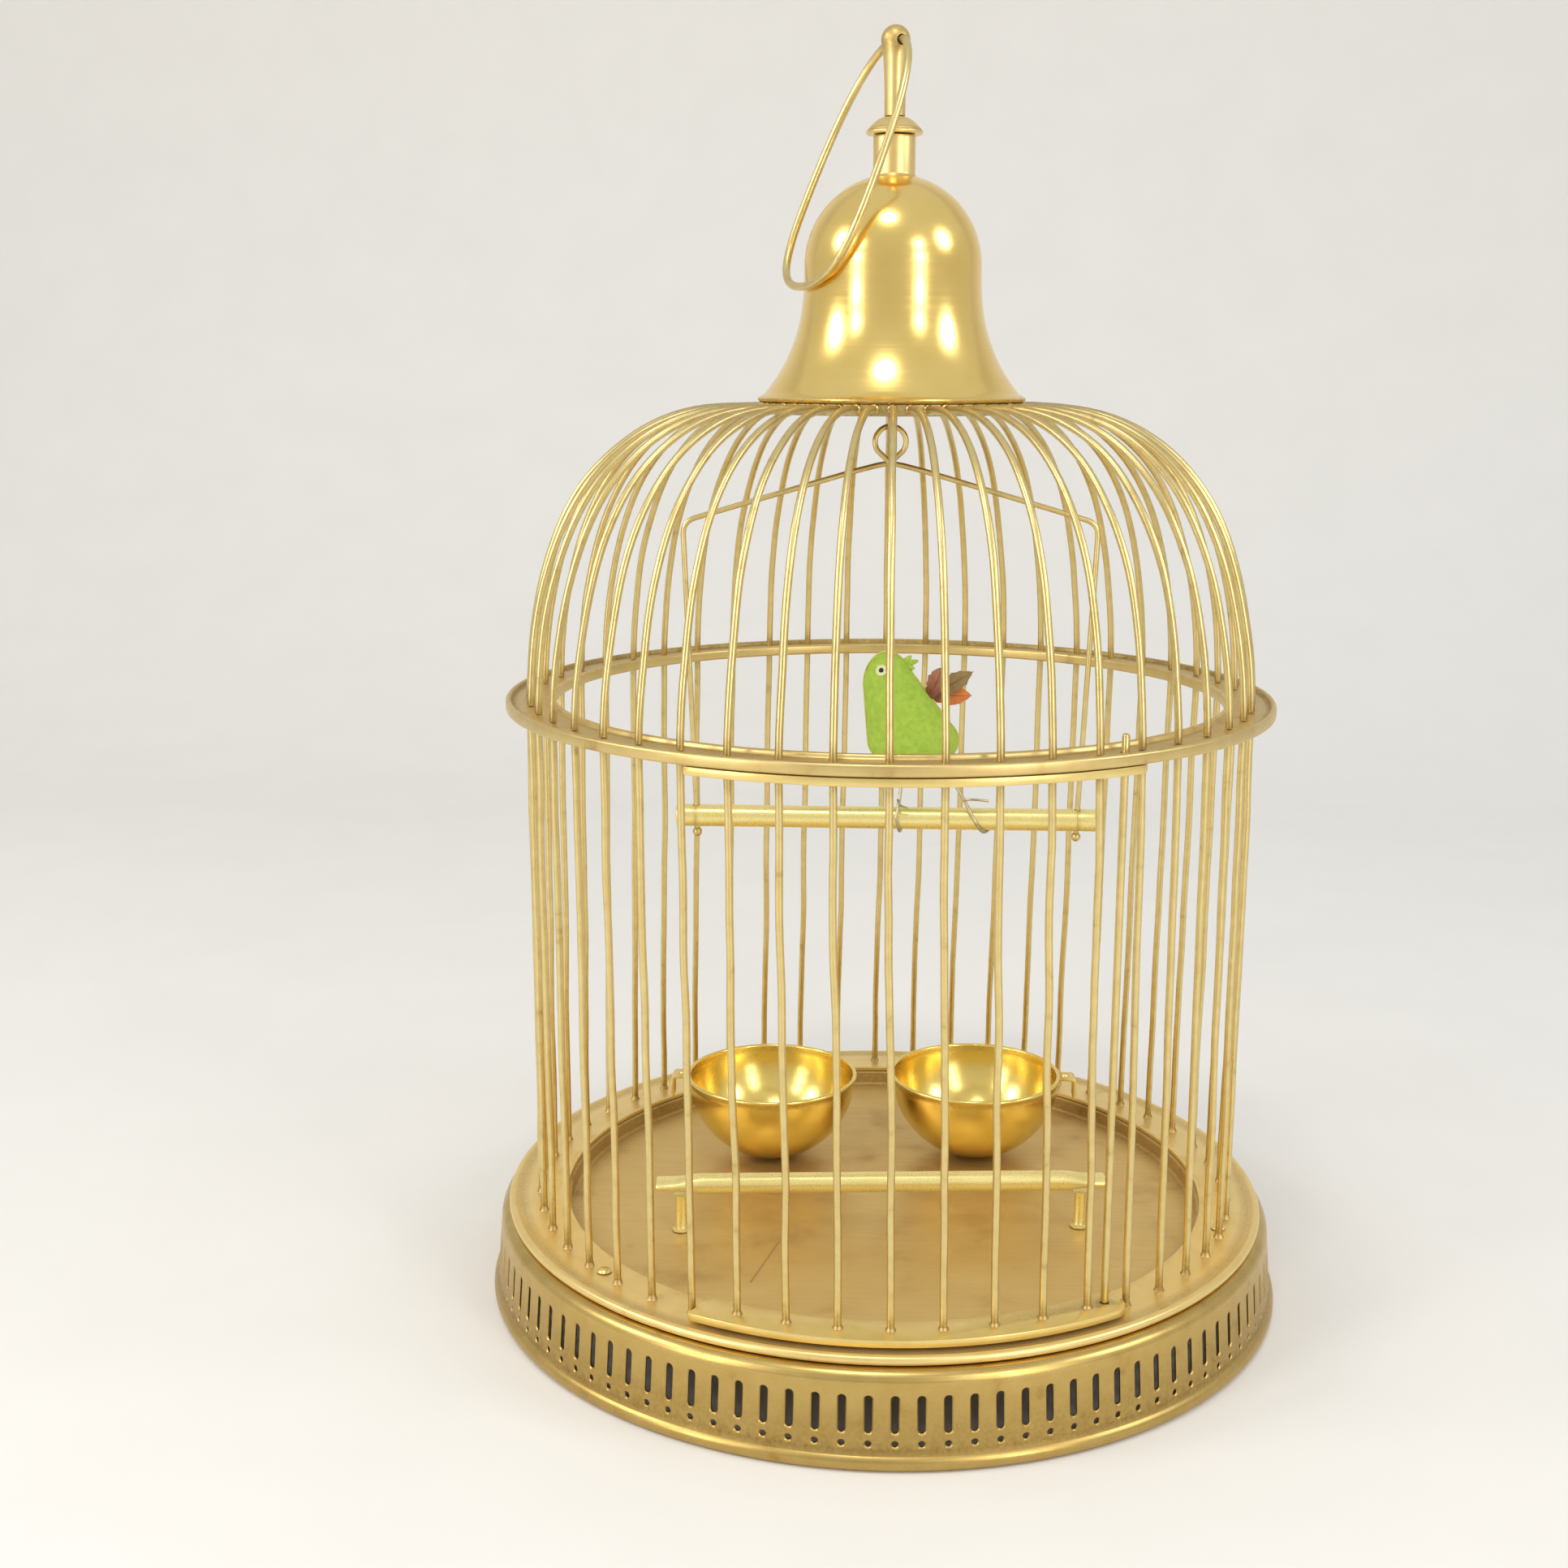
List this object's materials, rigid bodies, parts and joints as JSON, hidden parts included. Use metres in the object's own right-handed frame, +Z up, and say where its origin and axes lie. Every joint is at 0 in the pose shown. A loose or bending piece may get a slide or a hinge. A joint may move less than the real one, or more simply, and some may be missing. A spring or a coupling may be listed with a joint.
{
  "type": "bird cage",
  "caption": "Brass wire bird cage with a bell-topped dome, a swing with a felt bird on it, a curved hinged door, food cups and a pierced round base.",
  "frame": {"origin": "middle of the base's underside", "axes": "+Z up the cage's middle line; -Y is the door's side; +X is to the right as seen from the door"},
  "size_m": [0.297, 0.2974, 0.4565],
  "materials": {
    "brass": "satin",
    "tarnished_brass": "dull",
    "polished_brass": "polished",
    "wire_brass": "satin",
    "felt": "felt",
    "feather": "matte",
    "bird_eye": "matte",
    "leg_wire": "satin"
  },
  "bodies": {
    "cage": {"base_skirt": "brass", "floor_tray": "tarnished_brass", "bottom_ring": "brass", "ring_screw_1": "polished_brass", "ring_screw_2": "polished_brass", "ring_screw_3": "polished_brass", "mid_ring": "tarnished_brass", "dome_wires": "wire_brass", "bell": "polished_brass", "bell_neck": "polished_brass", "bell_collar": "polished_brass", "finial": "polished_brass", "stem_nut": "brass", "swing_hanger": "wire_brass", "floor_perch_bar": "brass", "floor_perch_leg_left": "brass", "floor_perch_leg_right": "brass"},
    "door": {"door_bottom_rail": "brass", "door_top_rail": "brass", "door_pivot_wire": "wire_brass", "door_wire_1": "wire_brass", "door_wire_2": "wire_brass", "door_wire_3": "wire_brass", "door_wire_4": "wire_brass", "door_wire_5": "wire_brass", "door_wire_6": "wire_brass", "door_wire_7": "wire_brass", "door_wire_8": "wire_brass"},
    "swing": {"swing_frame": "wire_brass", "swing_perch": "brass", "bird_body": "felt", "bird_crest": "felt", "bird_eye_left": "bird_eye", "bird_eye_right": "bird_eye", "bird_feather_1": "feather", "bird_feather_2": "feather", "bird_feather_3": "feather", "bird_leg_left": "leg_wire", "bird_leg_right": "leg_wire"},
    "bail_loop": {"bail": "wire_brass"},
    "left_cup": {"cup_left": "polished_brass"},
    "right_cup": {"cup_right": "polished_brass"}
  },
  "joints": [
    {"name": "door_hinge", "type": "hinge", "parent": "cage", "child": "door", "pos_m": [0.0741, -0.10681, 0], "axis": [0, 0, 1], "range_deg": [0, 100]},
    {"name": "swing_hinge", "type": "hinge", "parent": "cage", "child": "swing", "pos_m": [0, 0, 0.3215], "axis": [1, 0, 0], "range_deg": [-35, 35]},
    {"name": "bail_hinge", "type": "hinge", "parent": "cage", "child": "bail_loop", "pos_m": [0, 0, 0.451], "axis": [-0.454, 0.891, 0], "range_deg": [0, 315]},
    {"name": "cup_left_lift", "type": "slide", "parent": "cage", "child": "left_cup", "axis": [0, 0, 1], "range_m": [0, 0.04]},
    {"name": "cup_right_lift", "type": "slide", "parent": "cage", "child": "right_cup", "axis": [0, 0, 1], "range_m": [0, 0.04]}
  ]
}
